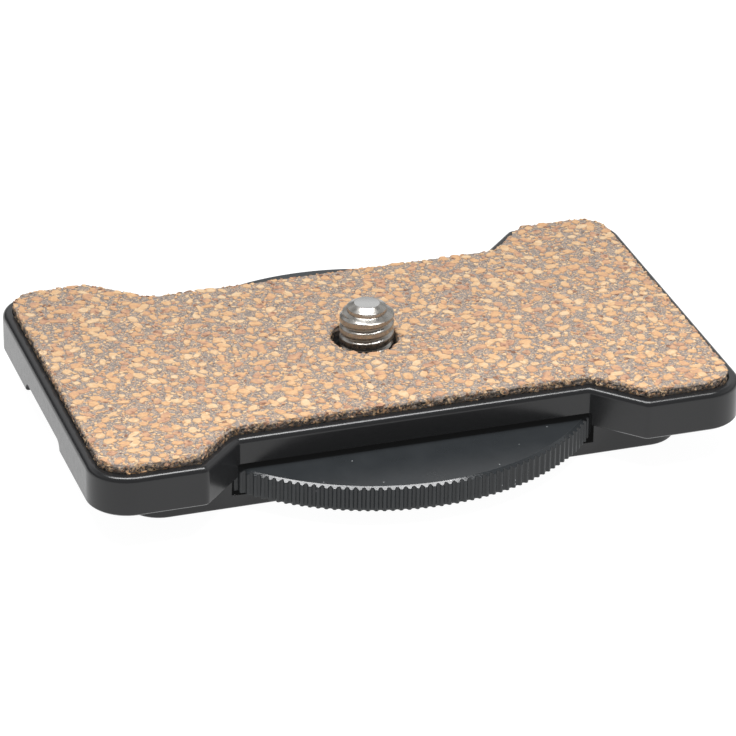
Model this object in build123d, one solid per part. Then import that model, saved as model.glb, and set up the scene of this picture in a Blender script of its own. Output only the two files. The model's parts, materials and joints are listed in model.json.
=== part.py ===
from build123d import *
import math
import os

# driving sizes in mm, z = 0 on the underside, screw axis at x = y = 0
plate_len = 76.0
plate_wid = 46.0
plate_h = 4.65
waist_len = 40.9
waist_wid = 35.8
flank_angle = 45.0
corner_r = 4.7
lobe_r = 1.0
waist_r = 0.4
inner_tip_r = 0.5
slab_t = 3.08
skirt_wall = 1.8
rim_fillet = 0.7
rim_chamfer = 0.12
skirt_chamfer = 0.2
ease_limit = 0.7
notch_len = 15.2
notch_h = 1.2
notch_r = 1.08
notch_y = 0.75
notch_limit = 0.9

pad_inset = 1.3
pad_recess = 0.6
pad_proud = 1.1
pad_chamfer = 0.3
pad_hole_r = 4.0

wheel_r = 27.0
wheel_h = 2.95
wheel_teeth = 184
tooth_depth = 0.27
tooth_land = 0.33
edge_angle = 34.0
pocket_gap = 0.6
wheel_under = 0.27
lift_room = 0.6

floor_t = 1.7
block_wid = 35.1
block_wid_top = 35.5
block_undercut = 0.9
block_r = 4.0
block_chamfer = 0.2

fixing_r = 1.45
fixing_head_r = 2.75
fixing_span = 23.0
fixing_wall = 1.4
fixing_out = 3.35
fixing_bite = 1.56

screw_r = 3.125
screw_proud = 4.03
thread_sunk = 0.35
neck_r = 2.4
tip_h = 1.52
pilot_h = 0.94
pilot_r = 2.3
cone_h = 0.47
tip_flat_r = 1.48
head_flats = 11.0
head_h = 1.55
hole_r = 3.5

washer_r = 8.0
washer_t = 0.4
washer_sunk = 0.25

# clearances between neighbours
seat_gap = 0.1
pad_gap = 0.08
fit_gap = 0.05
rest_gap = 0.02
end_gap = 0.2
fixing_gap = 0.1
washer_gap = 0.1
washer_bore_gap = 0.2

# heights, stacked up from the underside
wheel_z = floor_t + wheel_under
wheel_top = wheel_z + wheel_h
head_z = floor_t + rest_gap
head_top = head_z + head_h
washer_z = wheel_top - washer_sunk
washer_top = washer_z + washer_t
under_z = washer_top + lift_room
rim_z = under_z + slab_t
skirt_z = rim_z - plate_h
pad_floor = rim_z - pad_recess
pad_top = rim_z + pad_proud
thread_z = rim_z - thread_sunk
screw_tip_z = pad_top + screw_proud
fixing_tip = under_z + fixing_bite

# plan sizes: the fixings stand clear of the wheel pocket, and the block reaches past them
half_len = plate_len / 2
half_wid = plate_wid / 2
half_waist = waist_wid / 2
flank_run = (half_wid - half_waist) / math.tan(math.radians(flank_angle))
flank_shift = math.tan(math.radians(flank_angle) / 2)
pocket_r = wheel_r + pocket_gap
fixing_y = fixing_span / 2
fixing_x = math.sqrt((pocket_r + fixing_wall + fixing_r) ** 2 - fixing_y ** 2)
block_len_top = 2 * (fixing_x + fixing_out)
block_len = block_len_top + 2 * block_undercut
shank_r = screw_r + fit_gap / 2
over = 1.0
match = 0.01


def prism(face, low, high):
    return extrude(Pos(0, 0, low) * face, high - low)


def rod(radius, low, high, x=0.0, y=0.0):
    return prism(Pos(x, y) * Circle(radius), low, high)


def polygon(points):
    return make_face(Polyline(*points, close=True).edges())


def turned(points):
    # points are (radius, height) pairs
    return revolve(Plane.XZ * polygon(points), Axis.Z)


def top_edges(shape):
    return shape.edges().group_by(Axis.Z)[-1]


def foot_edges(shape):
    return shape.edges().group_by(Axis.Z)[0]


def near(value, target):
    return abs(abs(value) - target) < match


def outline(inset, end_r, tip_r, root_r):
    # dog-bone plan of the plate, moved in by the inset on every side
    x_end = half_len - inset
    y_lobe = half_wid - inset
    y_waist = half_waist - inset
    x_in = waist_len / 2 + inset * flank_shift
    x_out = x_in + flank_run
    steep = (y_lobe - y_waist) / flank_run
    plan = Rectangle(2 * x_end, 2 * y_lobe)
    for side in (-1, 1):
        mouth = side * (y_lobe + over * steep)
        waist = side * y_waist
        plan -= polygon([(-x_out - over, mouth), (-x_in, waist), (x_in, waist), (x_out + over, mouth)])
    plan = fillet([v for v in plan.vertices() if near(v.X, x_end)], end_r)
    plan = fillet([v for v in plan.vertices() if near(v.Y, y_lobe) and near(v.X, x_out)], tip_r)
    return fillet([v for v in plan.vertices() if near(v.Y, y_waist) and near(v.X, x_in)], root_r)


def inner_outline(inset):
    # the same plan with its corners eased to stay parallel to the outer one
    end_r = max(corner_r - inset, inner_tip_r)
    return outline(inset, end_r, inner_tip_r, waist_r + inset)


# top plate: slab with a rounded rim and a skirt
plate = prism(outline(0, corner_r, lobe_r, waist_r), skirt_z, rim_z)
plate = fillet(top_edges(plate), min(rim_fillet, ease_limit * lobe_r))
plate = chamfer(foot_edges(plate), min(skirt_chamfer, ease_limit * lobe_r))
plate -= prism(inner_outline(skirt_wall), skirt_z - over, under_z)
seat = RectangleRounded(block_len + 2 * seat_gap, block_wid_top + 2 * seat_gap, block_r)
plate -= prism(seat, skirt_z - over, under_z)
plate -= rod(pocket_r, skirt_z - over, under_z)

# round-ended latch notches in the skirt of both short sides
notch = Rectangle(notch_len, 2 * notch_h)
notch = fillet(notch.vertices(), min(notch_r, notch_limit * notch_h))
for side in (-1, 1):
    wall = Plane((side * half_len, notch_y, skirt_z), x_dir=(0, 1, 0), z_dir=(1, 0, 0))
    plate -= extrude(wall * notch, skirt_wall + over, both=True)

# shallow recess for the pad, hole for the screw, blind holes for the fixings
recess = inner_outline(pad_inset - pad_gap)
plate -= prism(recess, pad_floor, rim_z)
plate -= extrude(Pos(0, 0, rim_z - rim_chamfer) * recess, rim_chamfer, taper=-45)
plate -= rod(hole_r, under_z - over, rim_z)
spots = [(sx * fixing_x, sy * fixing_y) for sx in (-1, 1) for sy in (-1, 1)]
for x, y in spots:
    plate -= rod(fixing_r + fit_gap, under_z - over, fixing_tip + end_gap, x, y)

# cork pad
pad = prism(inner_outline(pad_inset), pad_floor, pad_top)
pad = chamfer(top_edges(pad), pad_chamfer)
pad -= rod(pad_hole_r, pad_floor - over, pad_top + over)

# base block: long sides lean in to the foot, short ends are undercut for the head's clamp
foot = RectangleRounded(block_len - 2 * block_chamfer, block_wid - 2 * block_chamfer, block_r - block_chamfer)
side_low = Pos(0, 0, block_chamfer) * RectangleRounded(block_len, block_wid, block_r)
side_high = Pos(0, 0, under_z) * RectangleRounded(block_len_top, block_wid_top, block_r)
block = loft([foot, side_low, side_high], ruled=True)
block -= rod(pocket_r, floor_t, under_z + over)
sink_r = fixing_head_r + fit_gap
for x, y in spots:
    block -= rod(fixing_r + fixing_gap, -over, under_z + over, x, y)
    block -= Pos(x, y, 0) * extrude(Circle(sink_r), sink_r - fixing_r, taper=45)

# countersunk fixings, one node of four solids
fixing = turned([
    (0, rest_gap),
    (fixing_head_r - rest_gap, rest_gap),
    (fixing_r, fixing_head_r - fixing_r),
    (fixing_r, fixing_tip),
    (0, fixing_tip),
])
fixings = Compound(children=[Pos(x, y, 0) * fixing.solid() for x, y in spots])


def ring(crest, root, crest_z, root_z):
    # corners of one ring of the knurl, crest and root in turn
    corners = []
    for i in range(2 * wheel_teeth):
        turn = math.pi * i / wheel_teeth
        reach, height = ((crest, crest_z), (root, root_z))[i % 2]
        corners.append((reach * math.cos(turn), reach * math.sin(turn), height))
    return corners


# thumbwheel: straight V knurl with its upper edge coned off, hex seat below and washer seat above
root_r = wheel_r - tooth_depth
edge_r = root_r - tooth_land
edge_slope = math.tan(math.radians(edge_angle))
crest_drop = edge_slope * (wheel_r - edge_r)
root_drop = edge_slope * (root_r - edge_r)
rings = [
    ring(wheel_r, root_r, wheel_z, wheel_z),
    ring(wheel_r, root_r, wheel_top - crest_drop, wheel_top - root_drop),
    ring(edge_r, edge_r, wheel_top, wheel_top),
]
faces = [Face(Wire.make_polygon(rings[0])), Face(Wire.make_polygon(rings[-1]))]
for low, high in zip(rings, rings[1:]):
    for i in range(2 * wheel_teeth):
        j = (i + 1) % (2 * wheel_teeth)
        faces.append(Face(Wire.make_polygon([low[i], low[j], high[j], high[i]])))
wheel = Solid(Shell(faces))
hex_seat = RegularPolygon(head_flats / 2 + fit_gap, 6, major_radius=False)
wheel -= prism(hex_seat, wheel_z - over, head_top)
wheel -= rod(shank_r + fit_gap, wheel_z - over, wheel_top + over)
wheel -= rod(washer_r + washer_gap, washer_z, wheel_top + over)

# camera screw: hex head, shank through the wheel, waisted neck, plain thread body, pilot with a coned tip
screw = turned([
    (0, head_z + fit_gap),
    (shank_r, head_z + fit_gap),
    (shank_r, washer_top),
    (neck_r, washer_top + shank_r - neck_r),
    (neck_r, thread_z - (screw_r - neck_r)),
    (screw_r, thread_z),
    (screw_r, screw_tip_z - tip_h),
    (pilot_r, screw_tip_z - pilot_h),
    (pilot_r, screw_tip_z - cone_h),
    (tip_flat_r, screw_tip_z),
    (0, screw_tip_z),
])
screw += prism(RegularPolygon(head_flats / 2, 6, major_radius=False), head_z, head_top)

# thrust washer
washer = rod(washer_r, washer_z, washer_top)
washer -= rod(shank_r + washer_bore_gap, washer_z - over, washer_top + over)

os.makedirs("parts", exist_ok=True)
nodes = {
    "top_plate": plate,
    "cork_pad": pad,
    "base_block": block,
    "base_screws": fixings,
    "thumbwheel": wheel,
    "camera_screw": screw,
    "thrust_washer": washer,
}
for name, shape in nodes.items():
    export_step(shape, "parts/" + name + ".step")
    box = shape.bounding_box()
    print(name, len(shape.solids()), round(shape.volume, 2), box.min, box.max)
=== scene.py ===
import json
import math
import random

import bmesh
import bpy
from mathutils import Matrix, Vector, kdtree, noise

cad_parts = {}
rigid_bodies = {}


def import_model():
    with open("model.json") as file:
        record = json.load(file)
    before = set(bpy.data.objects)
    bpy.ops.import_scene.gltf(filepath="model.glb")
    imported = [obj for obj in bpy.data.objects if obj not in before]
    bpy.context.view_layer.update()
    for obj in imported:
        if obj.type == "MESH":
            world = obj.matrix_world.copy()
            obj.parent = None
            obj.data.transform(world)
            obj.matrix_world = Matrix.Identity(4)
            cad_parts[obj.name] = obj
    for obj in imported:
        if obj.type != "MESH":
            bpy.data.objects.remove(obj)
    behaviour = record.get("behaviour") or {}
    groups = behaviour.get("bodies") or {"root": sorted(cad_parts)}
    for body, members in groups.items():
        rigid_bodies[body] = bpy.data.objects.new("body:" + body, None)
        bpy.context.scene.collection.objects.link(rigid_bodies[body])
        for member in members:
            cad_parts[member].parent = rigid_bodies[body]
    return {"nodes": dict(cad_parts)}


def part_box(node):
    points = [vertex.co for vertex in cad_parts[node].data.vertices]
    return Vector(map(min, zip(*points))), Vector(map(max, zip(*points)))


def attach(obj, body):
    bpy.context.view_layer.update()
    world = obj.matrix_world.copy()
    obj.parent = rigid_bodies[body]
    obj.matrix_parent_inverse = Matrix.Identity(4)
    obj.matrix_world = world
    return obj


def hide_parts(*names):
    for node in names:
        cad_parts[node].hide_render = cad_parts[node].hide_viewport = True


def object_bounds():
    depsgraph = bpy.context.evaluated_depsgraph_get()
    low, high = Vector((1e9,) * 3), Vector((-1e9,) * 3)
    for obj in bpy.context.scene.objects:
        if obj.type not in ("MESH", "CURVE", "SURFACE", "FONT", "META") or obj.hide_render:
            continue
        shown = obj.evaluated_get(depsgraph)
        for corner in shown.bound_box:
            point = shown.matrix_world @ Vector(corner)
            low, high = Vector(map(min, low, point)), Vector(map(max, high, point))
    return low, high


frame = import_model()
cadLow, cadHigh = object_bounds()
padLow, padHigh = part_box("cork_pad")
wheelLow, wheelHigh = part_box("thumbwheel")
screwLow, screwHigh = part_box("camera_screw")
fixingLow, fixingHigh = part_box("base_screws")
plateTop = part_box("top_plate")[1].z
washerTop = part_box("thrust_washer")[1].z
mm = 0.001
noiseSpan = (0.3, 0.7)  # most of a noise field lies between these
print("frame loaded with", len(frame["nodes"]), "solids")


# node trees, shader and geometry alike: sockets are linked, plain values are set
def put(tree, kind, inputs=None, **options):
    node = tree.nodes.new(kind)
    for key, value in options.items():
        setattr(node, key, value)
    for key, value in (inputs or {}).items():
        if isinstance(value, bpy.types.NodeSocket):
            tree.links.new(value, node.inputs[key])
        else:
            node.inputs[key].default_value = value
    return node


def calc(tree, operation, first, second=0.0, third=0.0):
    return put(tree, "ShaderNodeMath", {0: first, 1: second, 2: third}, operation=operation).outputs[0]


def remap(tree, value, low, high, toLow, toHigh):
    inputs = {"Value": value, "From Min": low, "From Max": high, "To Min": toLow, "To Max": toHigh}
    return put(tree, "ShaderNodeMapRange", inputs, clamp=True).outputs["Result"]


def axes(tree, vector):
    return put(tree, "ShaderNodeSeparateXYZ", {0: vector}).outputs


# a value given here is the same all over the surface
def newMaterial(name, values=None):
    material = bpy.data.materials.new(name)
    material.use_nodes = True
    tree = material.node_tree
    shader = tree.nodes["Principled BSDF"]
    for socket, value in (values or {}).items():
        shader.inputs[socket].default_value = value
    coords = put(tree, "ShaderNodeTexCoord").outputs["Object"]
    return material, tree, shader, coords


def noiseField(tree, coords, size, detail=2.0, rough=0.5):
    # size is the width of a blot in metres
    inputs = {"Vector": coords, "Scale": 1.0 / size, "Detail": detail, "Roughness": rough}
    return put(tree, "ShaderNodeTexNoise", inputs).outputs["Fac"]


def attribute(tree, name):
    return put(tree, "ShaderNodeAttribute", attribute_name=name).outputs["Fac"]


def blendColours(tree, factor, first, second, mode="MIX"):
    inputs = {0: factor, 6: first, 7: second}
    return put(tree, "ShaderNodeMix", inputs, data_type="RGBA", blend_type=mode).outputs[2]


def colourRamp(tree, factor, stops):
    node = put(tree, "ShaderNodeValToRGB", {"Fac": factor})
    elements = node.color_ramp.elements
    while len(elements) < len(stops):
        elements.new(1.0)
    for element, (place, colour) in zip(elements, stops):
        element.position = place
        element.color = (*colour, 1.0)
    return node.outputs["Color"]


def tint(tree, shader, colour):
    tree.links.new(colour, shader.inputs["Base Color"])


# spreads a noise field over a span of roughness
def roughen(tree, shader, field, span):
    tree.links.new(remap(tree, field, *noiseSpan, *span), shader.inputs["Roughness"])


def bump(tree, shader, height, depth):
    node = put(tree, "ShaderNodeBump", {"Height": height, "Distance": depth, "Strength": 1.0})
    tree.links.new(node.outputs["Normal"], shader.inputs["Normal"])


# sparse round flecks: a random few of the cells hold a dot
def flecks(tree, coords, cell, radius, share):
    voronoi = put(tree, "ShaderNodeTexVoronoi", {"Vector": coords, "Scale": 1.0 / cell})
    dot = calc(tree, "LESS_THAN", voronoi.outputs["Distance"], radius / cell)
    chance = put(tree, "ShaderNodeSeparateColor", {0: voronoi.outputs["Color"]}).outputs[0]
    return calc(tree, "MULTIPLY", dot, calc(tree, "LESS_THAN", chance, share))


# satin black paint over a casting
paintLook = {
    "deep": (0.0085, 0.0088, 0.0096, 1),
    "pale": (0.0120, 0.0124, 0.0135, 1),
    "cloud": 6 * mm,
    "mottle": 0.9 * mm,
    "peel": 0.45 * mm,
    "peelDepth": 0.0010 * mm,
    "roughness": (0.20, 0.26),
    "gloss": 1.45,
}


def blackPaint():
    look = paintLook
    material, tree, shader, coords = newMaterial("blackPaint", {"IOR": look["gloss"]})
    cloud = noiseField(tree, coords, look["cloud"], detail=3.0)
    tint(tree, shader, blendColours(tree, cloud, look["deep"], look["pale"]))
    mottle = noiseField(tree, coords, look["mottle"], detail=4.0, rough=0.6)
    roughen(tree, shader, mottle, look["roughness"])
    bump(tree, shader, noiseField(tree, coords, look["peel"], detail=1.0), look["peelDepth"])
    return material


# satin black of the thumbwheel, with settled dust
wheelLook = {
    "deep": (0.0165, 0.0190, 0.0212, 1),
    "pale": (0.0215, 0.0245, 0.0272, 1),
    "dust": (0.42, 0.43, 0.44, 1),
    "cloud": 3 * mm,
    "grain": 0.12 * mm,
    "grainDepth": 0.003 * mm,
    "roughness": (0.26, 0.36),
    "gloss": 1.42,
    "edgeRoughness": (0.09, 0.20),
    "edgeSpan": (0.35, 0.65),
    "edgeZone": (0.345 * mm, 0.012 * mm),  # below the wheel's top
    "fleckCell": 0.9 * mm,
    "fleckRadius": 0.07 * mm,
    "fleckShare": 0.22,
}


def wheelBlack():
    look = wheelLook
    material, tree, shader, coords = newMaterial("wheelBlack", {"IOR": look["gloss"]})
    cloud = noiseField(tree, coords, look["cloud"], detail=4.0)
    colour = blendColours(tree, cloud, look["deep"], look["pale"])
    dust = flecks(tree, coords, look["fleckCell"], look["fleckRadius"], look["fleckShare"])
    tint(tree, shader, blendColours(tree, dust, colour, look["dust"]))
    grain = noiseField(tree, coords, look["grain"], detail=3.0)
    bump(tree, shader, grain, look["grainDepth"])
    # the coned upper edge is turned smooth, so it shines
    height = axes(tree, coords)["Z"]
    low, high = (wheelHigh.z - drop for drop in look["edgeZone"])
    above = calc(tree, "GREATER_THAN", height, low)
    onEdge = calc(tree, "MULTIPLY", above, calc(tree, "LESS_THAN", height, high))
    dull = remap(tree, cloud, *noiseSpan, *look["roughness"])
    bright = remap(tree, grain, *look["edgeSpan"], *look["edgeRoughness"])
    rough = put(tree, "ShaderNodeMix", {0: onEdge, 2: dull, 3: bright}).outputs[0]
    tree.links.new(rough, shader.inputs["Roughness"])
    return material


# bright stainless of the camera screw, with fine turning marks round its axis; it is painted darker than the
# faced end, painted shade for the thread's dim reflections
steelLook = {
    "pale": (0.44, 0.425, 0.40, 1),
    "grey": (0.33, 0.315, 0.29, 1),
    "stain": 0.8 * mm,
    "mark": 0.05 * mm,
    "markStretch": (0.08, 0.08, 1.0),
    "markDepth": 0.0012 * mm,
    "roughness": (0.24, 0.32),
}


def brightSteel():
    look = steelLook
    material, tree, shader, coords = newMaterial("brightSteel", {"Metallic": 1.0})
    stain = noiseField(tree, coords, look["stain"], detail=4.0, rough=0.6)
    tint(tree, shader, blendColours(tree, stain, look["grey"], look["pale"]))
    roughen(tree, shader, stain, look["roughness"])
    stretched = put(tree, "ShaderNodeMapping", {"Vector": coords, "Scale": look["markStretch"]})
    bump(tree, shader, noiseField(tree, stretched.outputs["Vector"], look["mark"]), look["markDepth"])
    return material


# the screw's faced end is painted paler than the thread's steel, a painted highlight, with rings from the
# cutter
facedPaintedPaleLook = {
    "pale": (0.70, 0.70, 0.69, 1),
    "grey": (0.67, 0.67, 0.66, 1),
    "stain": 0.35 * mm,
    "ringGap": 0.377 * mm,
    "ringWaver": 1.5,
    "ringDepth": 0.0003 * mm,
    "roughness": (0.22, 0.26),
}


def facedSteel():
    look = facedPaintedPaleLook
    material, tree, shader, coords = newMaterial("facedSteel", {"Metallic": 1.0})
    stain = noiseField(tree, coords, look["stain"], detail=4.0)
    tint(tree, shader, blendColours(tree, stain, look["grey"], look["pale"]))
    roughen(tree, shader, stain, look["roughness"])
    scale = math.pi / 10 / look["ringGap"]  # at scale 1 the rings are pi / 10 apart
    waves = {"Vector": coords, "Scale": scale, "Distortion": look["ringWaver"], "Detail": 2.0}
    rings = put(tree, "ShaderNodeTexWave", waves, wave_type="RINGS", rings_direction="Z")
    bump(tree, shader, rings.outputs["Fac"], look["ringDepth"])
    return material


# blackened steel of the fixings
fixingLook = {
    "deep": (0.045, 0.045, 0.048, 1),
    "worn": (0.16, 0.16, 0.165, 1),
    "wear": 0.7 * mm,
    "wearSpan": (0.5, 0.72),
    "grain": 0.08 * mm,
    "grainDepth": 0.003 * mm,
    "roughness": (0.32, 0.5),
    "metal": 0.9,
}


def blackenedSteel():
    look = fixingLook
    material, tree, shader, coords = newMaterial("blackenedSteel", {"Metallic": look["metal"]})
    wear = noiseField(tree, coords, look["wear"], detail=5.0, rough=0.65)
    worn = remap(tree, wear, *look["wearSpan"], 0.0, 1.0)
    tint(tree, shader, blendColours(tree, worn, look["deep"], look["worn"]))
    roughen(tree, shader, wear, look["roughness"])
    bump(tree, shader, noiseField(tree, coords, look["grain"]), look["grainDepth"])
    return material


# natural nylon of the thrust washer
nylonLook = {
    "pale": (0.78, 0.77, 0.72, 1),
    "warm": (0.70, 0.68, 0.61, 1),
    "cloud": 1.5 * mm,
    "grain": 0.2 * mm,
    "grainDepth": 0.004 * mm,
    "roughness": (0.38, 0.5),
}


def naturalNylon():
    look = nylonLook
    material, tree, shader, coords = newMaterial("naturalNylon")
    cloud = noiseField(tree, coords, look["cloud"], detail=4.0)
    tint(tree, shader, blendColours(tree, cloud, look["warm"], look["pale"]))
    roughen(tree, shader, cloud, look["roughness"])
    bump(tree, shader, noiseField(tree, coords, look["grain"]), look["grainDepth"])
    return material


# rubber that binds the cork, full of fine cork grains; fray is 1 at the pad's torn edges
binderLook = {
    "dark": (0.132, 0.110, 0.098, 1),
    "grey": (0.300, 0.260, 0.226, 1),
    "grains": [
        (0.00, (0.136, 0.087, 0.068)),
        (0.18, (0.284, 0.230, 0.202)),
        (0.50, (0.371, 0.270, 0.197)),
        (0.78, (0.500, 0.324, 0.197)),
        (1.00, (0.582, 0.420, 0.256)),
    ],
    "grainCell": 0.23 * mm,
    "grainRadius": (0.25, 0.6),  # shares of the cell
    "grainSoft": 0.08,
    "grainRise": 0.5,
    "blot": 0.30 * mm,
    "blotSpan": (0.35, 0.65),
    # torn edges and the foot are painted near black: partly the cut cork's own dark edge, partly painted
    # shade in the plate's recess and the hole
    "tornEdgeAndShade": (0.016, 0.012, 0.009, 1),
    "tornEdgeAndShadeFray": (0.55, 0.9, 1.2),  # start, strength and patchiness
    "frayBlot": 0.34 * mm,
    "fraySpan": (0.45, 0.85),
    # painted light: the front of the pad is painted paler than its back
    "fade": (1.09, 0.87),  # front and back of the pad
    "roughness": (0.72, 0.92),
    "specular": 0.3,
    "depth": 0.035 * mm,
}


# how dark a spot is painted by a torn edge, partly the cut cork's own dark edge and partly painted shade:
# starts where fray passes a level, in patches
def frayField(tree, coords, start, strength, patchiness):
    near = remap(tree, attribute(tree, "fray"), start, 1.0, 0.0, strength)
    blot = noiseField(tree, coords, binderLook["frayBlot"], detail=3.0, rough=0.6)
    patchy = calc(tree, "MULTIPLY_ADD", calc(tree, "SUBTRACT", blot, 0.5), patchiness, near)
    return remap(tree, patchy, *binderLook["fraySpan"], 0.0, 1.0)


# painted light: the pad is painted paler towards its front, where more light falls on it
def padShade(tree, coords, colour, shade=1.0):
    fade = remap(tree, axes(tree, coords)["Y"], padLow.y, padHigh.y, *binderLook["fade"])
    fade = calc(tree, "MULTIPLY", fade, shade)
    grey = put(tree, "ShaderNodeCombineColor", {0: fade, 1: fade, 2: fade}).outputs[0]
    return blendColours(tree, 1.0, colour, grey, "MULTIPLY")


def corkBinder():
    look = binderLook
    material, tree, shader, coords = newMaterial("corkBinder", {"Specular IOR Level": look["specular"]})
    blot = noiseField(tree, coords, look["blot"], detail=4.0, rough=0.65)
    body = blendColours(tree, remap(tree, blot, *look["blotSpan"], 0.0, 1.0), look["dark"], look["grey"])
    cells = put(tree, "ShaderNodeTexVoronoi", {"Vector": coords, "Scale": 1.0 / look["grainCell"]})
    chance = put(tree, "ShaderNodeSeparateColor", {0: cells.outputs["Color"]})
    grain = colourRamp(tree, chance.outputs[0], look["grains"])
    radius = remap(tree, chance.outputs[1], 0.0, 1.0, *look["grainRadius"])
    past = calc(tree, "SUBTRACT", cells.outputs["Distance"], radius)
    core = remap(tree, past, -look["grainSoft"], look["grainSoft"], 1.0, 0.0)
    colour = padShade(tree, coords, blendColours(tree, core, body, grain))
    tornEdgeAndShade = frayField(tree, coords, *look["tornEdgeAndShadeFray"])
    tint(tree, shader, blendColours(tree, tornEdgeAndShade, colour, look["tornEdgeAndShade"]))
    roughen(tree, shader, blot, look["roughness"])
    bump(tree, shader, calc(tree, "MULTIPLY_ADD", core, look["grainRise"], blot), look["depth"])
    return material


# one cork granule: its tone comes with the granule, its rim is darker, and at a torn edge it is painted dark,
# partly grime and partly painted shade
granuleLook = {
    "tones": [
        (0.00, (0.187, 0.093, 0.056)),
        (0.10, (0.350, 0.193, 0.125)),
        (0.25, (0.450, 0.262, 0.162)),
        (0.45, (0.519, 0.302, 0.155)),
        (0.65, (0.550, 0.342, 0.183)),
        (0.85, (0.562, 0.378, 0.216)),
        (1.00, (0.600, 0.435, 0.270)),
    ],
    "mottle": 0.75 * mm,
    "mottleSpan": (0.25, 0.75),
    "mottleShift": (-0.28, 0.28),
    "streak": 0.28 * mm,
    "streakSpan": (0.30, 0.62),
    "streakShade": (0.82, 1.03),
    "rim": (0.31, 0.20, 0.135, 1),
    "rimShare": 0.8,
    "pitCell": 0.32 * mm,
    "pitRadius": 0.05 * mm,
    "pitShare": 0.10,
    "pitDark": 0.6,
    # painted shade: granules are darkened at torn edges and down by the pad's foot, where the plate's recess
    # shades the side
    "grimeAndShadeColour": (0.020, 0.015, 0.010, 1),
    "grimeAndShadeFray": (0.4, 0.22, 1.8),  # start, strength and patchiness
    "grimeAndShadeShare": 0.9,
    "footShadeZone": (0.85 * mm, 1.15 * mm),  # above the pad's foot
    "footShadeStrength": 0.95,
    "footShadeSpread": 1.1 * mm,
    "roughness": (0.66, 0.86),
    "specular": 0.35,
    "depth": 0.02 * mm,
}


def corkGranule():
    look = granuleLook
    material, tree, shader, coords = newMaterial("corkGranule", {"Specular IOR Level": look["specular"]})
    tone = attribute(tree, "granuleTone")
    streak = noiseField(tree, coords, look["streak"], detail=5.0, rough=0.7)
    mottle = noiseField(tree, coords, look["mottle"], detail=3.0, rough=0.55)
    shift = remap(tree, mottle, *look["mottleSpan"], *look["mottleShift"])
    colour = colourRamp(tree, calc(tree, "ADD", tone, shift), look["tones"])
    shade = remap(tree, streak, *look["streakSpan"], *look["streakShade"])
    colour = padShade(tree, coords, colour, shade)
    pits = flecks(tree, coords, look["pitCell"], look["pitRadius"], look["pitShare"])
    rim = calc(tree, "MULTIPLY", attribute(tree, "granuleRim"), look["rimShare"])
    dark = calc(tree, "MAXIMUM", rim, calc(tree, "MULTIPLY", pits, look["pitDark"]))
    colour = blendColours(tree, dark, colour, look["rim"])
    # grime and painted shade at the torn edge, with painted shade thickest down by the plate
    low, high = (padLow.z + rise for rise in look["footShadeZone"])
    level = calc(tree, "MULTIPLY_ADD", tone, look["footShadeSpread"], axes(tree, coords)["Z"])
    deep = remap(tree, level, low, high, look["footShadeStrength"], 0.0)
    grimeAndShade = calc(tree, "MULTIPLY", frayField(tree, coords, *look["grimeAndShadeFray"]), look["grimeAndShadeShare"])
    tint(tree, shader, blendColours(tree, calc(tree, "MAXIMUM", grimeAndShade, deep), colour, look["grimeAndShadeColour"]))
    roughen(tree, shader, streak, look["roughness"])
    bump(tree, shader, streak, look["depth"])
    return material


finish = {
    "paint": blackPaint(),
    "wheel": wheelBlack(),
    "steel": brightSteel(),
    "facedPaintedPale": facedSteel(),
    "fixing": blackenedSteel(),
    "nylon": naturalNylon(),
    "binder": corkBinder(),
    "granule": corkGranule(),
}
print("materials made:", ", ".join(sorted(finish)))


# helpers for meshes
def newObject(name, mesh, *materials):
    piece = bpy.data.objects.new(name, mesh)
    bpy.context.scene.collection.objects.link(piece)
    for material in materials:
        mesh.materials.append(material)
    return piece


def meshFrom(bm, name):
    mesh = bpy.data.meshes.new(name)
    bm.to_mesh(mesh)
    bm.free()
    return mesh


# keeps the result of a piece's modifiers as its plain mesh
def bakeModifiers(piece):
    bpy.context.view_layer.update()
    evaluated = piece.evaluated_get(bpy.context.evaluated_depsgraph_get())
    mesh = bpy.data.meshes.new_from_object(evaluated)
    # an empty slot would push the next material to the wrong number
    for slot in reversed(range(len(mesh.materials))):
        if mesh.materials[slot] is None:
            mesh.materials.pop(index=slot)
    piece.modifiers.clear()
    old = piece.data
    piece.data = mesh
    bpy.data.meshes.remove(old)


def shadeByAngle(mesh, degrees):
    mesh.shade_smooth()
    mesh.set_sharp_from_angle(angle=math.radians(degrees))


def faceOutwards(mesh):
    bm = bmesh.new()
    bm.from_mesh(mesh)
    bmesh.ops.recalc_face_normals(bm, faces=bm.faces)
    bm.to_mesh(mesh)
    bm.free()


# rounds every hard edge a little
def easeEdges(piece, ease):
    shadeByAngle(piece.data, ease["angle"])
    bevel = piece.modifiers.new("ease", "BEVEL")
    bevel.width = ease["width"]
    bevel.segments = ease["segments"]
    bevel.limit_method = "ANGLE"
    bevel.angle_limit = math.radians(ease["angle"])
    bevel.use_clamp_overlap = True
    weigh = piece.modifiers.new("weigh", "WEIGHTED_NORMAL")
    weigh.keep_sharp = True
    bakeModifiers(piece)


# joins each loop of points to the next one with a band of faces
def skin(bm, loops):
    for low, high in zip(loops, loops[1:]):
        for i in range(len(low)):
            j = (i + 1) % len(low)
            bm.faces.new((low[i], low[j], high[j], high[i]))


# stacks rings of (radius, height) into a skin; a radius may be a function of the angle
def stackRings(bm, rings, count, lowCap=False, highCap=False):
    loops = []
    for radius, height in rings:
        loop = []
        for i in range(count):
            angle = 2 * math.pi * i / count
            reach = radius(angle) if callable(radius) else radius
            loop.append(bm.verts.new((reach * math.cos(angle), reach * math.sin(angle), height)))
        loops.append(loop)
    skin(bm, loops)
    if lowCap:
        bm.faces.new(list(reversed(loops[0])))
    if highCap:
        bm.faces.new(loops[-1])


def hexReach(flats):
    def reach(angle):
        return flats / 2 / math.cos((angle + math.pi / 6) % (math.pi / 3) - math.pi / 6)
    return reach


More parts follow.
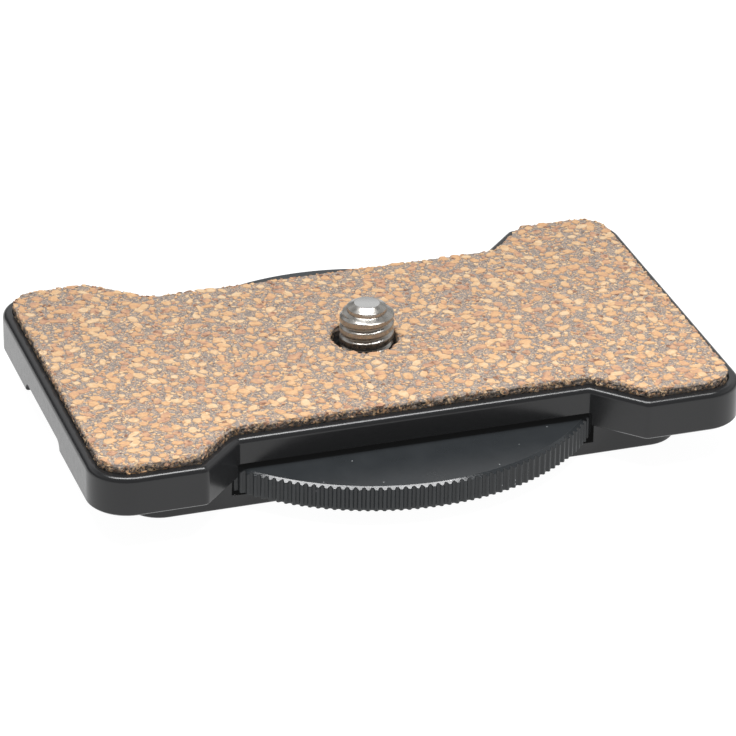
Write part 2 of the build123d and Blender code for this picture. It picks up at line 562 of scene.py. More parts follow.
# a tree with a geometry input and output, and inputs named after some of a piece's settings
def newTree(name, form, keys):
    tree = bpy.data.node_groups.new(name, "GeometryNodeTree")
    tree.interface.new_socket(name="Geometry", in_out="INPUT", socket_type="NodeSocketGeometry")
    kinds = {int: "NodeSocketInt", float: "NodeSocketFloat"}
    for key in keys:
        socket = tree.interface.new_socket(name=key, in_out="INPUT", socket_type=kinds[type(form[key])])
        socket.default_value = form[key]
    tree.interface.new_socket(name="Geometry", in_out="OUTPUT", socket_type="NodeSocketGeometry")
    return tree, tree.nodes.new("NodeGroupInput").outputs


# ends a tree: instances become real, seams are welded where asked, and the material is set
def closeTree(tree, geometry, material, weld=None):
    solid = put(tree, "GeometryNodeRealizeInstances", {0: geometry}).outputs[0]
    if weld:
        solid = put(tree, "GeometryNodeMergeByDistance", {0: solid, "Distance": weld}).outputs[0]
    painted = put(tree, "GeometryNodeSetMaterial", {0: solid, "Material": material}).outputs[0]
    tree.links.new(painted, tree.nodes.new("NodeGroupOutput").inputs[0])


def joinParts(tree, *parts):
    joined = put(tree, "GeometryNodeJoinGeometry")
    for part in parts:
        tree.links.new(part, joined.inputs[0])
    return joined.outputs[0]


def runTree(piece, tree, form):
    modifier = piece.modifiers.new(tree.name, "NODES")
    modifier.node_group = tree
    for item in tree.interface.items_tree:
        if item.in_out == "INPUT" and item.name in form:
            modifier[item.identifier] = form[item.name]
    bakeModifiers(piece)


def randomNumber(tree, low, high, seed, kind="FLOAT"):
    slot = {"FLOAT": (2, 3, 1), "INT": (4, 5, 2), "FLOAT_VECTOR": (0, 1, 0)}[kind]
    inputs = {slot[0]: low, slot[1]: high, "Seed": seed}
    return put(tree, "FunctionNodeRandomValue", inputs, data_type=kind).outputs[slot[2]]


# sets a copy of an object on each point, turned round the vertical
def copies(tree, points, source, angle):
    turn = put(tree, "ShaderNodeCombineXYZ", {"Z": angle}).outputs[0]
    return put(tree, "GeometryNodeInstanceOnPoints", {
        "Points": points,
        "Instance": put(tree, "GeometryNodeObjectInfo", {"Object": source}).outputs["Geometry"],
        "Rotation": put(tree, "FunctionNodeEulerToRotation", {0: turn}).outputs[0],
    }).outputs[0]


# plate and block: copies of the solids with every hard edge eased
castingForm = {
    "merge": 0.001 * mm,
    "flat": 0.5,  # faces within this many degrees become one
    "ease": {"width": 0.07 * mm, "segments": 2, "angle": 28.0},
}


def easedCopy(node, name):
    bm = bmesh.new()
    bm.from_mesh(frame["nodes"][node].data)
    bmesh.ops.remove_doubles(bm, verts=bm.verts, dist=castingForm["merge"])
    flat = math.radians(castingForm["flat"])
    bmesh.ops.dissolve_limit(bm, angle_limit=flat, verts=bm.verts, edges=bm.edges)
    mesh = meshFrom(bm, name)
    if "custom_normal" in mesh.attributes:
        mesh.attributes.remove(mesh.attributes["custom_normal"])
    mesh.materials.clear()
    piece = newObject(name, mesh, finish["paint"])
    easeEdges(piece, castingForm["ease"])
    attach(piece, "plate")
    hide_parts(node)


easedCopy("top_plate", "plateCasting")
easedCopy("base_block", "blockCasting")
print("castings eased")


# thumbwheel: one tooth of the knurl is turned round the axis by nodes
knurl = {
    "teeth": 184,
    "depth": 0.29 * mm,
    # half a tooth from crest to root, as share of the pitch and share of the depth
    "profile": [(0.11, 0.03), (0.18, 0.21), (0.25, 0.55), (0.33, 0.84), (0.41, 0.97), (0.5, 1.0)],
    "edgeLand": 0.20 * mm,
    "edgeAngle": 34.0,
    "discRadius": 20 * mm,
    "hexFlats": 11.1 * mm,
    "hexDepth": 1.30 * mm,
    "boreRadius": 3.2 * mm,
    "washerRadius": 8.1 * mm,
    "washerDepth": 0.25 * mm,
    "weld": 0.002 * mm,
    "ease": {"width": 0.035 * mm, "segments": 2, "angle": 30.0},
}


def knurlTooth():
    step = 2 * math.pi / knurl["teeth"]
    slope = math.tan(math.radians(knurl["edgeAngle"]))
    outer = wheelHigh.x
    edge = outer - knurl["depth"] - knurl["edgeLand"]
    half = knurl["profile"]
    profile = [(-share, drop) for share, drop in reversed(half)] + half
    bm = bmesh.new()

    def row(reach, height):
        made = []
        for share, drop in profile:
            radius = reach(drop)
            turn = share * step
            made.append(bm.verts.new((radius * math.cos(turn), radius * math.sin(turn), height(radius))))
        return made

    # foot of the teeth, their coned tops, and the cone's inner edge
    rows = [
        row(lambda drop: outer - drop * knurl["depth"], lambda radius: wheelLow.z),
        row(lambda drop: outer - drop * knurl["depth"], lambda radius: wheelHigh.z - slope * (radius - edge)),
        row(lambda drop: edge, lambda radius: wheelHigh.z),
    ]
    for low, high in zip(rows, rows[1:]):
        for i in range(len(low) - 1):
            bm.faces.new((low[i], low[i + 1], high[i + 1], high[i]))
    # slices of the disc below and above
    for line, height, up in ((rows[0], wheelLow.z, False), (rows[-1], wheelHigh.z, True)):
        inner = []
        for share in (0.5, -0.5):
            x = knurl["discRadius"] * math.cos(share * step)
            y = knurl["discRadius"] * math.sin(share * step)
            inner.append(bm.verts.new((x, y, height)))
        face = line + inner
        bm.faces.new(face if up else list(reversed(face)))
    return bpy.data.objects.new("knurlTooth", meshFrom(bm, "knurlTooth"))


def wheelHub():
    bm = bmesh.new()
    hexSeat = hexReach(knurl["hexFlats"])
    seatTop = wheelLow.z + knurl["hexDepth"]
    washerSeat = wheelHigh.z - knurl["washerDepth"]
    stackRings(bm, [
        (knurl["discRadius"], wheelHigh.z),
        (knurl["washerRadius"], wheelHigh.z),
        (knurl["washerRadius"], washerSeat),
        (knurl["boreRadius"], washerSeat),
        (knurl["boreRadius"], seatTop),
        (hexSeat, seatTop),
        (hexSeat, wheelLow.z),
        (knurl["discRadius"], wheelLow.z),
    ], knurl["teeth"])
    # half a pitch round, so that its points meet the teeth's seams
    halfPitch = math.pi / knurl["teeth"]
    bmesh.ops.rotate(bm, verts=bm.verts, matrix=Matrix.Rotation(halfPitch, 3, "Z"))
    return meshFrom(bm, "thumbwheelKnurled")


def knurlTree(tooth):
    tree, given = newTree("knurlRing", knurl, ("teeth", "weld"))
    points = put(tree, "GeometryNodePoints", {"Count": given["teeth"]}).outputs[0]
    step = calc(tree, "DIVIDE", 2 * math.pi, given["teeth"])
    index = put(tree, "GeometryNodeInputIndex").outputs[0]
    ring = copies(tree, points, tooth, calc(tree, "MULTIPLY", index, step))
    closeTree(tree, joinParts(tree, ring, given["Geometry"]), finish["wheel"], given["weld"])
    return tree


tooth = knurlTooth()
wheel = newObject("thumbwheelKnurled", wheelHub())
runTree(wheel, knurlTree(tooth), knurl)
bpy.data.objects.remove(tooth)
faceOutwards(wheel.data)
easeEdges(wheel, knurl["ease"])
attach(wheel, "wheel")
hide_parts("thumbwheel")
print("thumbwheel knurled:", knurl["teeth"], "teeth,", len(wheel.data.polygons), "faces")


# camera screw: turned ends, and between them a thread that nodes wind as a helix
screwForm = {
    "segments": 96,
    "rows": 130,
    "pitch": 1.27 * mm,
    "crest": 3.12 * mm,
    "root": 2.76 * mm,
    "crestShare": 0.46,
    "rootShare": 0.12,
    "round": 0.20,
    "turn": 0.98,
    "threadLow": screwHigh.z - 6.13 * mm,
    "threadHigh": screwHigh.z - 0.94 * mm,
    "endRadius": 2.30 * mm,
    "endSlope": 0.42,
    "fade": 0.08 * mm,
    "lipRadius": 2.22 * mm,
    "lipDrop": 0.43 * mm,
    "lipRound": [(0.08 * mm, 0.10 * mm), (0.065 * mm, 0.05 * mm), (0.04 * mm, 0.015 * mm)],  # out and down
    "flatRadius": 1.48 * mm,
    "flatRound": [(0.05 * mm, 0.03 * mm), (0.02 * mm, 0.008 * mm), (-0.03 * mm, 0.0)],  # out and down
    "neck": 2.3 * mm,
    "shank": 3.15 * mm,
    "headFlats": 11.0 * mm,
    "headTop": screwLow.z + 1.55 * mm,
    "headCrown": 0.25 * mm,
    "crownShare": 0.97,
    "weld": 0.002 * mm,
    "sharpAngle": 40.0,
}


def screwEnds():
    bm = bmesh.new()
    form = screwForm
    hexHead = hexReach(form["headFlats"])
    crown = form["headFlats"] / 2 * form["crownShare"]
    stackRings(bm, [
        (crown, screwLow.z),
        (hexHead, screwLow.z + form["headCrown"]),
        (hexHead, form["headTop"]),
        (form["shank"], form["headTop"]),
        (form["shank"], washerTop),
        (form["neck"], washerTop + form["shank"] - form["neck"]),
        (form["endRadius"], form["threadLow"]),
    ], form["segments"], lowCap=True)
    # lip, cone and faced flat of the tip
    lip, flat = form["lipRadius"], form["flatRadius"]
    lipHigh = screwHigh.z - form["lipDrop"]
    tip = [(form["endRadius"], form["threadHigh"])]
    tip += [(lip + out, lipHigh - down) for out, down in form["lipRound"]]
    tip.append((lip, lipHigh))
    tip += [(flat + out, screwHigh.z - down) for out, down in form["flatRound"]]
    stackRings(bm, tip, form["segments"], highCap=True)
    return meshFrom(bm, "cameraScrewThreaded")


def threadTree():
    tree, given = newTree("helixThread", screwForm, (
        "pitch", "crest", "root", "crestShare", "rootShare", "round", "turn", "threadLow", "threadHigh",
        "endRadius", "endSlope", "fade", "segments", "rows", "weld",
    ))
    grid = put(tree, "GeometryNodeMeshGrid", {
        "Size X": 1.0,
        "Size Y": 1.0,
        "Vertices X": calc(tree, "ADD", given["segments"], 1.0),
        "Vertices Y": given["rows"],
    })
    place = axes(tree, put(tree, "GeometryNodeInputPosition").outputs[0])
    around = calc(tree, "ADD", place["X"], 0.5)
    along = calc(tree, "ADD", place["Y"], 0.5)
    angle = calc(tree, "MULTIPLY", around, 2 * math.pi)
    tall = calc(tree, "SUBTRACT", given["threadHigh"], given["threadLow"])
    height = calc(tree, "MULTIPLY_ADD", along, tall, given["threadLow"])
    # flat crest and root with slanted flanks between them, eased at the corners
    phase = calc(tree, "SUBTRACT", calc(tree, "DIVIDE", height, given["pitch"]), around)
    phase = calc(tree, "FLOORED_MODULO", calc(tree, "SUBTRACT", phase, given["turn"]), 1.0)
    ramp = calc(tree, "ABSOLUTE", calc(tree, "MULTIPLY_ADD", phase, 2.0, -1.0))
    flank = calc(tree, "SUBTRACT", calc(tree, "SUBTRACT", 1.0, given["crestShare"]), given["rootShare"])
    wave = calc(tree, "DIVIDE", calc(tree, "SUBTRACT", ramp, given["rootShare"]), flank)
    wave = calc(tree, "SMOOTH_MAX", wave, 0.0, given["round"])
    wave = calc(tree, "SMOOTH_MIN", wave, 1.0, given["round"])
    depth = calc(tree, "SUBTRACT", given["crest"], given["root"])
    reach = calc(tree, "MULTIPLY_ADD", wave, depth, given["root"])
    # both ends run out in a cone
    fromTop = calc(tree, "SUBTRACT", given["threadHigh"], height)
    steep = calc(tree, "DIVIDE", 1.0, given["endSlope"])
    topCone = calc(tree, "MULTIPLY_ADD", fromTop, steep, given["endRadius"])
    lowCone = calc(tree, "ADD", calc(tree, "SUBTRACT", height, given["threadLow"]), given["endRadius"])
    reach = calc(tree, "SMOOTH_MIN", reach, topCone, given["fade"])
    reach = calc(tree, "MINIMUM", reach, calc(tree, "MINIMUM", topCone, lowCone))
    spot = put(tree, "ShaderNodeCombineXYZ", {
        "X": calc(tree, "MULTIPLY", reach, calc(tree, "COSINE", angle)),
        "Y": calc(tree, "MULTIPLY", reach, calc(tree, "SINE", angle)),
        "Z": height,
    })
    wound = put(tree, "GeometryNodeSetPosition", {0: grid.outputs["Mesh"], "Position": spot.outputs[0]})
    closeTree(tree, joinParts(tree, wound.outputs[0], given["Geometry"]), finish["steel"], given["weld"])
    return tree


screw = newObject("cameraScrewThreaded", screwEnds())
runTree(screw, threadTree(), screwForm)
faceOutwards(screw.data)
screw.data.materials.append(finish["facedPaintedPale"])
for face in screw.data.polygons:
    if face.center.z > screwHigh.z - screwForm["weld"]:
        face.material_index = 1
shadeByAngle(screw.data, screwForm["sharpAngle"])
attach(screw, "wheel")
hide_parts("camera_screw")
print("camera screw threaded:", len(screw.data.polygons), "faces")


# countersunk fixings of the block: one screw set on four points by nodes
fixingForm = {
    "segments": 48,
    "headRadius": 2.73 * mm,
    "headEase": 0.12 * mm,
    "faceRing": 1.9 * mm,
    "shank": 1.42 * mm,
    "tipEase": 0.3 * mm,
    "recessReach": 1.45 * mm,
    "recessWidth": 0.42 * mm,
    "recessDepth": 1.0 * mm,
    "recessTaper": (0.62, 0.7),  # reach and width at its floor, as shares of the mouth's
    "sharpAngle": 30.0,
    "seed": 5,
}
fixingForm["spanX"] = fixingHigh.x - fixingLow.x - 2 * fixingForm["headRadius"]
fixingForm["spanY"] = fixingHigh.y - fixingLow.y - 2 * fixingForm["headRadius"]


# outline of the cross recess, as a reach for each angle
def crossReach(reach, width):
    def at(angle):
        quarter = (angle + math.pi / 4) % (math.pi / 2) - math.pi / 4
        sideways = abs(math.sin(quarter))
        forward = reach / math.cos(quarter)
        return min(forward, width / sideways) if sideways > 1e-6 else forward
    return at


def fixingScrew():
    form = fixingForm
    bm = bmesh.new()
    base = fixingLow.z
    reachShare, widthShare = form["recessTaper"]
    mouth = crossReach(form["recessReach"], form["recessWidth"])
    floor = crossReach(reachShare * form["recessReach"], widthShare * form["recessWidth"])
    stackRings(bm, [
        (floor, base + form["recessDepth"]),
        (mouth, base),
        (form["faceRing"], base),
        (form["headRadius"] - form["headEase"], base),
        (form["headRadius"], base + form["headEase"]),
        (form["shank"], base + form["headRadius"] - form["shank"]),
        (form["shank"], fixingHigh.z - form["tipEase"]),
        (form["shank"] - form["tipEase"], fixingHigh.z),
    ], form["segments"], lowCap=True, highCap=True)
    mesh = meshFrom(bm, "fixingScrew")
    shadeByAngle(mesh, form["sharpAngle"])
    return bpy.data.objects.new("fixingScrew", mesh)


def fixingTree(source):
    tree, given = newTree("fixingSet", fixingForm, ("spanX", "spanY", "seed"))
    spans = {"Size X": given["spanX"], "Size Y": given["spanY"], "Vertices X": 2, "Vertices Y": 2}
    corners = put(tree, "GeometryNodeMeshGrid", spans).outputs["Mesh"]
    angle = randomNumber(tree, 0.0, math.pi / 2, given["seed"])
    closeTree(tree, copies(tree, corners, source, angle), finish["fixing"])
    return tree


oneFixing = fixingScrew()
fixings = newObject("blockFixings", bpy.data.meshes.new("blockFixings"))
runTree(fixings, fixingTree(oneFixing), fixingForm)
bpy.data.objects.remove(oneFixing)
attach(fixings, "plate")
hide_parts("base_screws")
print("fixings set:", len(fixings.data.polygons), "faces")

# thrust washer keeps its solid
washer = frame["nodes"]["thrust_washer"]
washer.data.materials.clear()
washer.data.materials.append(finish["nylon"])
print("thrust washer finished")


# cork pad: a ragged rubber slab set with granules
padForm = {
    "waistHalfWidth": 16.6 * mm,
    "waistHalfLength": 20.99 * mm,
    "flankRun": 5.1 * mm,
    "backTips": (0.5 * mm, 1.1 * mm),  # how far the back lobes fall short, right and left
    "backRoots": (0.5 * mm, 0.1 * mm),
    "backNarrow": 0.08 * mm,
    "endRadius": 3.4 * mm,
    "tipRadius": 0.6 * mm,
    "rootRadius": 1.7 * mm,
    "arcSteps": 8,
    "step": 0.24 * mm,
    "slabTop": 0.10 * mm,
    "shoulder": 0.3 * mm,
    "wallLevels": 4,
    # down from the top and in from the side
    "topRound": [(0.18 * mm, 0.03 * mm), (0.08 * mm, 0.08 * mm), (0.0, 0.16 * mm), (0.0, 0.32 * mm)],
    "inset": 0.02 * mm,
    "lean": Vector((-0.12 * mm, -0.16 * mm)),
    "ragged": 0.17 * mm,
    "raggedSize": 0.6 * mm,
    "raggedFlat": 1.6,
    "raggedLayers": [(1.0, 1.0), (2.7, 0.6), (6.1, 0.3)],  # fineness and strength
    "rimRagged": 0.3,
    "frayWidth": 0.12 * mm,
    "footFray": 0.3 * mm,
    "trimShare": 0.4,
    "holeRadius": 3.8 * mm,
    "holeFront": 0.65 * mm,
    "holeShift": -0.33 * mm,
    "holeTrim": 0.06 * mm,
    "sideLow": plateTop - 0.05 * mm,
    "topFacing": 0.7,
    "sideFacing": 0.9,
    "seed": 4,
}
flakeForm = {
    "radius": 0.5 * mm,
    "moreCorners": (-1, 0, 0, 1),
    "cornerShift": 0.28,
    "reach": (0.76, 1.06),
    "topShare": 0.80,
}
# those with a gap lie flat on the top, the crumbs lie anyhow on the torn sides
granules = {
    "small": {
        "corners": 4, "shapes": 6, "seed": 37, "shift": 0.0, "thickness": 0.11 * mm,
        "gap": 0.26 * mm, "density": 1.4e6, "tilt": 5.0, "tone": (0.0, 0.95),
        "length": (0.28, 0.55), "width": (0.24, 0.40), "height": (0.026 * mm, 0.040 * mm),
    },
    "middle": {
        "corners": 5, "shapes": 7, "seed": 23, "shift": 1.0, "thickness": 0.11 * mm,
        "gap": 0.44 * mm, "density": 1.5e6, "tilt": 2.5, "tone": (0.05, 1.0),
        "length": (0.55, 1.1), "width": (0.42, 0.8), "height": (0.050 * mm, 0.066 * mm),
    },
    "large": {
        "corners": 8, "shapes": 9, "seed": 11, "shift": 2.0, "thickness": 0.11 * mm,
        "gap": 0.98 * mm, "density": 7.0e5, "tilt": 1.2, "tone": (0.15, 0.97),
        "length": (1.1, 2.2), "width": (0.85, 1.5), "height": (0.070 * mm, 0.092 * mm),
    },
    "crumb": {
        "corners": 6, "shapes": 9, "seed": 53, "shift": 9.0, "thickness": 0.22 * mm,
        "density": 4.4e6, "tilt": 38.0, "tone": (-0.05, 1.15),
        "length": (0.45, 1.25), "width": (0.34, 0.85),
    },
}


# plan of the pad with its corners rounded, as evenly spaced points
def padPlan():
    form = padForm
    endX, lobeY = padHigh.x, padHigh.y
    waistY = form["waistHalfWidth"]
    inX = form["waistHalfLength"]
    outX = inX + form["flankRun"]
    endR, tipR, rootR = form["endRadius"], form["tipRadius"], form["rootRadius"]
    back = (form["backTips"], form["backRoots"], form["backNarrow"])
    front = ((0.0, 0.0), (0.0, 0.0), 0.0)
    corners = []
    for side, (tips, roots, narrow) in ((1, back), (-1, front)):
        half = [
            (endX, lobeY, endR),
            (outX + tips[0], lobeY, tipR),
            (inX + roots[0], waistY - narrow, rootR),
            (-inX - roots[1], waistY - narrow, rootR),
            (-outX - tips[1], lobeY, tipR),
            (-endX, lobeY, endR),
        ]
        corners += [(side * x, side * y, radius) for x, y, radius in half]
    line = []
    for i, (x, y, radius) in enumerate(corners):
        here = Vector((x, y))
        before = (Vector(corners[i - 1][:2]) - here).normalized()
        after = (Vector(corners[(i + 1) % len(corners)][:2]) - here).normalized()
        halfAngle = before.angle(after) / 2
        run = radius / math.tan(halfAngle)
        middle = here + (before + after).normalized() * radius / math.sin(halfAngle)
        first = here + before * run - middle
        sweep = first.angle_signed(here + after * run - middle)
        for k in range(form["arcSteps"] + 1):
            line.append(middle + Matrix.Rotation(-sweep * k / form["arcSteps"], 2) @ first)
    return spaced(line, form["step"])


def spaced(line, step):
    closed = line + line[:1]
    lengths = [0.0]
    for a, b in zip(closed, closed[1:]):
        lengths.append(lengths[-1] + (b - a).length)
    count = round(lengths[-1] / step)
    made = []
    k = 0
    for i in range(count):
        target = lengths[-1] * i / count
        while lengths[k + 1] < target:
            k += 1
        share = (target - lengths[k]) / max(lengths[k + 1] - lengths[k], 1e-12)
        made.append(closed[k].lerp(closed[k + 1], share))
    return made


def outwards(line):
    made = []
    for i in range(len(line)):
        along = (line[(i + 1) % len(line)] - line[i - 1]).normalized()
        made.append(Vector((along.y, -along.x)))
    if sum(p.dot(n) for p, n in zip(line, made)) < 0:
        made = [-n for n in made]
    return made


# how far the torn edge stands in or out at a point
def ragged(x, y, z):
    spot = Vector((x, y, padForm["raggedFlat"] * z)) / padForm["raggedSize"]
    rough = sum(strength * noise.noise(fineness * spot) for fineness, strength in padForm["raggedLayers"])
    return padForm["ragged"] * rough


# the hole is worn wider towards the front
def holeReach(backwards):
    return padForm["holeRadius"] + padForm["holeFront"] * max(0.0, backwards) ** 2


def padSlab():
    form = padForm
    plan = padPlan()
    normals = outwards(plan)
    top = padHigh.z - form["slabTop"]
    climb = top - form["shoulder"] - plateTop
    levels = form["wallLevels"]
    # height, extra inset and share of the raggedness of each ring, from the foot up
    rings = [(padLow.z, 0.0, 0.0), (plateTop, 0.0, form["rimRagged"])]
    rings += [(plateTop + climb * k / levels, 0.0, 1.0) for k in range(1, levels + 1)]
    rings += [(top - down, extra, 1.0) for down, extra in form["topRound"]]
    bm = bmesh.new()

    def wall(points, sides, inset, lean):
        loops = []
        for height, extra, share in rings:
            loop = []
            for p, n in zip(points, sides):
                shift = share * (ragged(p.x, p.y, height) + lean.dot(n)) - inset - extra
                loop.append(bm.verts.new((p.x + shift * n.x, p.y + shift * n.y, height)))
            loops.append(loop)
        skin(bm, loops)
        return loops

    outer = wall(plan, normals, form["inset"], form["lean"])
    count = round(2 * math.pi * form["holeRadius"] / form["step"])
    turns = [2 * math.pi * i / count for i in range(count)]
    holeSides = [Vector((-math.cos(t), -math.sin(t))) for t in turns]
    hole = [Vector((form["holeShift"], 0.0)) - holeReach(n.y) * n for n in holeSides]
    inner = wall(hole, holeSides, 0.0, Vector((0.0, 0.0)))
    # bottom and top faces
    for level in (0, -1):
        edges = []
        for loop in (outer[level], inner[level]):
            for i in range(len(loop)):
                edges.append(bm.edges.get((loop[i - 1], loop[i])))
        bmesh.ops.triangle_fill(bm, use_beauty=True, edges=edges)
    bmesh.ops.recalc_face_normals(bm, faces=bm.faces)
    return meshFrom(bm, "corkPad"), plan, normals


# a set of irregular flakes about 1 mm across, with their top at z = 0
def flakeSet(name, setting):
    form = flakeForm
    dice = random.Random(setting["seed"])
    group = bpy.data.collections.new(name)
    for number in range(setting["shapes"]):
        bm = bmesh.new()
        tops, feet = [], []
        count = setting["corners"] + dice.choice(form["moreCorners"])
        for i in range(count):
            shift = dice.uniform(-form["cornerShift"], form["cornerShift"])
            angle = 2 * math.pi * (i + shift) / count
            reach = form["radius"] * dice.uniform(*form["reach"])
            x, y = reach * math.cos(angle), reach * math.sin(angle)
            tops.append(bm.verts.new((form["topShare"] * x, form["topShare"] * y, 0.0)))
            feet.append(bm.verts.new((x, y, -setting["thickness"])))
        bm.faces.new(tops)
        bm.faces.new(list(reversed(feet)))
        skin(bm, [feet, tops])
        mesh = meshFrom(bm, name + str(number))
        rim = mesh.attributes.new("granuleRim", "FLOAT", "POINT")
        for vertex in mesh.vertices:
            rim.data[vertex.index].value = 1.0 if vertex.co.z < 0.0 else 0.0
        group.objects.link(bpy.data.objects.new(name + str(number), mesh))
    return group


# scatters one set of flakes on the top or the sides, each random draw with a seed of its own
def scatter(tree, given, setting, group, onTop, onSide):
    own = setting["seed"]
    flat = "gap" in setting
    inputs = {"Mesh": given["Geometry"], "Seed": calc(tree, "ADD", given["seed"], setting["shift"])}
    if flat:
        inputs.update({"Selection": onTop, "Distance Min": setting["gap"], "Density Max": setting["density"]})
    else:
        inputs.update({"Selection": onSide, "Density": setting["density"]})
    method = "POISSON" if flat else "RANDOM"
    spread = put(tree, "GeometryNodeDistributePointsOnFaces", inputs, distribute_method=method)
    points = put(tree, "GeometryNodeStoreNamedAttribute", {
        0: spread.outputs["Points"],
        "Name": "granuleTone",
        "Value": randomNumber(tree, *setting["tone"], own + 1),
    }, data_type="FLOAT", domain="POINT").outputs[0]
    tilt = math.radians(setting["tilt"])
    turn = Vector((tilt, tilt, math.pi))
    lean = randomNumber(tree, -turn, turn, own + 2, "FLOAT_VECTOR")
    rotation = put(tree, "FunctionNodeEulerToRotation", {0: lean}).outputs[0]
    if flat:
        lift = put(tree, "ShaderNodeCombineXYZ", {"Z": randomNumber(tree, *setting["height"], own + 3)})
        points = put(tree, "GeometryNodeSetPosition", {0: points, "Offset": lift.outputs[0]}).outputs[0]
    else:
        turns = {0: spread.outputs["Rotation"], 1: rotation}
        rotation = put(tree, "FunctionNodeRotateRotation", turns, rotation_space="LOCAL").outputs[0]
    least, most = ((setting["length"][end], setting["width"][end], 1.0) for end in (0, 1))
    flakes = put(tree, "GeometryNodeCollectionInfo", {"Collection": group, "Separate Children": True})
    return put(tree, "GeometryNodeInstanceOnPoints", {
        "Points": points,
        "Instance": flakes.outputs[0],
        "Pick Instance": True,
        "Instance Index": randomNumber(tree, 0, setting["shapes"] - 1, own + 5, "INT"),
        "Rotation": rotation,
        "Scale": randomNumber(tree, least, most, own + 4, "FLOAT_VECTOR"),
    }).outputs[0]


def granuleTree(groups):
    tree, given = newTree("corkGranules", padForm, ("seed", "sideLow", "topFacing", "sideFacing"))
    facing = axes(tree, put(tree, "GeometryNodeInputNormal").outputs[0])["Z"]
    height = axes(tree, put(tree, "GeometryNodeInputPosition").outputs[0])["Z"]
    onTop = calc(tree, "GREATER_THAN", facing, given["topFacing"])
    upright = calc(tree, "LESS_THAN", calc(tree, "ABSOLUTE", facing), given["sideFacing"])
    onSide = calc(tree, "MULTIPLY", upright, calc(tree, "GREATER_THAN", height, given["sideLow"]))
    parts = [scatter(tree, given, setting, groups[name], onTop, onSide) for name, setting in granules.items()]
    solid = put(tree, "GeometryNodeRealizeInstances", {0: joinParts(tree, *parts)})
    painted = put(tree, "GeometryNodeSetMaterial", {0: solid.outputs[0], "Material": finish["granule"]})
    bound = put(tree, "GeometryNodeSetMaterial", {0: given["Geometry"], "Material": finish["binder"]})
    whole = joinParts(tree, painted.outputs[0], bound.outputs[0])
    tree.links.new(whole, tree.nodes.new("NodeGroupOutput").inputs[0])
    return tree


# granules that reach past the pad's edge or over the hole are cut back to it, and fray is 1 along both
def trimGranules(mesh, plan, normals):
    form = padForm
    nearest = kdtree.KDTree(len(plan))
    for i, p in enumerate(plan):
        nearest.insert((p.x, p.y, 0.0), i)
    nearest.balance()
    foot = padLow.z + form["footFray"]
    fray = mesh.attributes.new("fray", "FLOAT", "POINT")
    for vertex in mesh.vertices:
        x, y, z = vertex.co
        # the pad's foot, down in the plate's recess, gets fray 1 so that it is painted dark: painted shade
        if z < foot:
            fray.data[vertex.index].value = 1.0
            continue
        i = nearest.find((x, y, 0.0))[1]
        p, n = plan[i], normals[i]
        edge = ragged(p.x, p.y, z) + form["lean"].dot(n) - form["trimShare"] * form["inset"]
        out = (x - p.x) * n.x + (y - p.y) * n.y - edge
        if out > 0:
            vertex.co.x -= out * n.x
            vertex.co.y -= out * n.y
        reach = math.hypot(x - form["holeShift"], y)
        least = holeReach(-y / reach) - ragged(x, y, z) - form["holeTrim"]
        if reach < least:
            vertex.co.x = form["holeShift"] + (x - form["holeShift"]) * least / reach
            vertex.co.y = y * least / reach
        vertex.co.z = min(vertex.co.z, padHigh.z)
        inside = min(-out, reach - least)
        fray.data[vertex.index].value = min(1.0, max(0.0, 1.0 - inside / form["frayWidth"]))


slabMesh, plan, planNormals = padSlab()
groups = {name: flakeSet("granule_" + name, setting) for name, setting in granules.items()}
cork = newObject("corkPad", slabMesh)
runTree(cork, granuleTree(groups), padForm)
for group in groups.values():
    for flake in list(group.objects):
        bpy.data.objects.remove(flake)
    bpy.data.collections.remove(group)
trimGranules(cork.data, plan, planNormals)
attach(cork, "plate")
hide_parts("cork_pad")
print("cork pad set:", sum(len(p.vertices) - 2 for p in cork.data.polygons), "triangles")


# pale glowing floor, one long soft lamp overhead, and a studio that is bright in a band behind the object,
# dim and even on the camera's side, and dark at the ceiling and the left horizon
stageLook = {
    "floorSize": 3.0,
    "floorTones": ((0.14, 0.14, 0.14, 1), (0.13, 0.13, 0.13, 1)),
    "floorCloud": 40 * mm,
    "floorRoughness": 0.9,
    "floorSpecular": 0.1,
    "floorGlow": 0.97,
    "floorGap": 0.02 * mm,
    "towardsCamera": (-0.319, -0.948, 0.0),
    "cameraSpan": (-0.1, 0.5),
    "horizon": (0.05, 0.45),  # left and right
    "horizonSpan": (-0.35, 0.05),
    "band": 0.90,
    "bandRise": (0.32, 0.48),
    "bandFall": (0.52, 0.85),
    "front": 0.27,
    "frontFall": (0.72, 0.90),
    "ceiling": 0.10,
    "lampPlace": (-0.010, -0.030, 0.55),
    "lampSize": (0.50, 0.16),
    "lampPower": 5.05,
    "blackLevel": -0.006,
}


def makeFloor():
    look = stageLook
    bm = bmesh.new()
    bmesh.ops.create_grid(bm, x_segments=1, y_segments=1, size=look["floorSize"] / 2)
    bmesh.ops.translate(bm, verts=bm.verts, vec=(0, 0, cadLow.z - look["floorGap"]))
    material, tree, shader, coords = newMaterial("floorPaper", {
        "Roughness": look["floorRoughness"],
        "Specular IOR Level": look["floorSpecular"],
        "Emission Color": (1, 1, 1, 1),
        "Emission Strength": look["floorGlow"],
    })
    tint(tree, shader, blendColours(tree, noiseField(tree, coords, look["floorCloud"]), *look["floorTones"]))
    newObject("floor", meshFrom(bm, "floor"), material)


def makeLamp():
    light = bpy.data.lights.new("overhead", "AREA")
    light.shape = "RECTANGLE"
    light.size, light.size_y = stageLook["lampSize"]
    light.energy = stageLook["lampPower"]
    lamp = bpy.data.objects.new("overhead", light)
    lamp.location = stageLook["lampPlace"]
    lamp.rotation_euler = (-Vector(stageLook["lampPlace"])).to_track_quat("-Z", "Y").to_euler()
    bpy.context.scene.collection.objects.link(lamp)


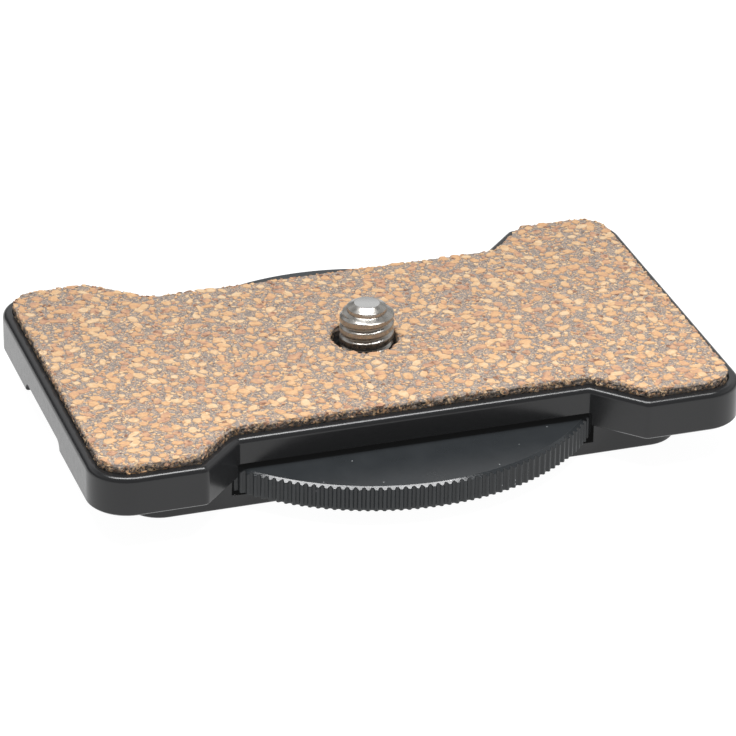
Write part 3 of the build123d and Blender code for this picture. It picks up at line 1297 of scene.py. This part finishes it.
def makeWorld():
    look = stageLook
    world = bpy.data.worlds.new("studio")
    world.use_nodes = True
    tree = world.node_tree
    ray = put(tree, "ShaderNodeTexCoord").outputs["Generated"]  # in a world this is the ray's direction
    way = axes(tree, ray)
    # behind the object: horizon, bright band, ceiling
    low = remap(tree, way["X"], *look["horizonSpan"], *look["horizon"])
    rise = remap(tree, way["Z"], *look["bandRise"], low, look["band"])
    fall = remap(tree, way["Z"], *look["bandFall"], 1.0, look["ceiling"] / look["band"])
    behind = calc(tree, "MULTIPLY", rise, fall)
    front = remap(tree, way["Z"], *look["frontFall"], look["front"], look["ceiling"])
    forward = put(tree, "ShaderNodeVectorMath", {0: ray, 1: look["towardsCamera"]}, operation="DOT_PRODUCT")
    share = remap(tree, forward.outputs["Value"], *look["cameraSpan"], 0.0, 1.0)
    glow = put(tree, "ShaderNodeMix", {0: share, 2: behind, 3: front}).outputs[0]
    background = tree.nodes["Background"].inputs
    tree.links.new(glow, background["Strength"])
    background["Color"].default_value = (1, 1, 1, 1)
    bpy.context.scene.world = world


makeFloor()
makeWorld()
makeLamp()
colours = bpy.context.scene.view_settings
colours.view_transform = "Standard"
colours.use_curve_mapping = True
colours.curve_mapping.black_level = (stageLook["blackLevel"],) * 3
colours.curve_mapping.update()

# camera, from a fit of the solids' edges to the photograph
photoCamera = {
    "imagePixels": 736,
    "focalPixels": 4240.961,
    "sensor": 36.0,
    "nearest": 10 * mm,
    "azimuth": -18.61,
    "elevation": 27.893,
    "roll": 0.876,
    "right": 0.309 * mm,
    "up": 4.811 * mm,
    "distance": 488.583 * mm,
}


def makeCamera():
    shot = photoCamera
    azimuth, elevation, roll = (math.radians(shot[key]) for key in ("azimuth", "elevation", "roll"))
    flat = math.cos(elevation)
    back = Vector((math.sin(azimuth) * flat, -math.cos(azimuth) * flat, math.sin(elevation)))
    level = Vector((math.cos(azimuth), math.sin(azimuth), 0))
    rise = back.cross(level)
    across = math.cos(roll) * level + math.sin(roll) * rise
    upward = -math.sin(roll) * level + math.cos(roll) * rise
    lens = bpy.data.cameras.new("photoCamera")
    lens.sensor_width = shot["sensor"]
    lens.lens = shot["focalPixels"] * shot["sensor"] / shot["imagePixels"]
    lens.clip_start = shot["nearest"]
    camera = bpy.data.objects.new("photoCamera", lens)
    turn = Matrix((across, upward, back)).transposed().to_4x4()
    turn.translation = back * shot["distance"] + across * shot["right"] + upward * shot["up"]
    camera.matrix_world = turn
    bpy.context.scene.collection.objects.link(camera)
    bpy.context.scene.camera = camera


makeCamera()
print("stage, light and camera placed")

bpy.context.view_layer.update()
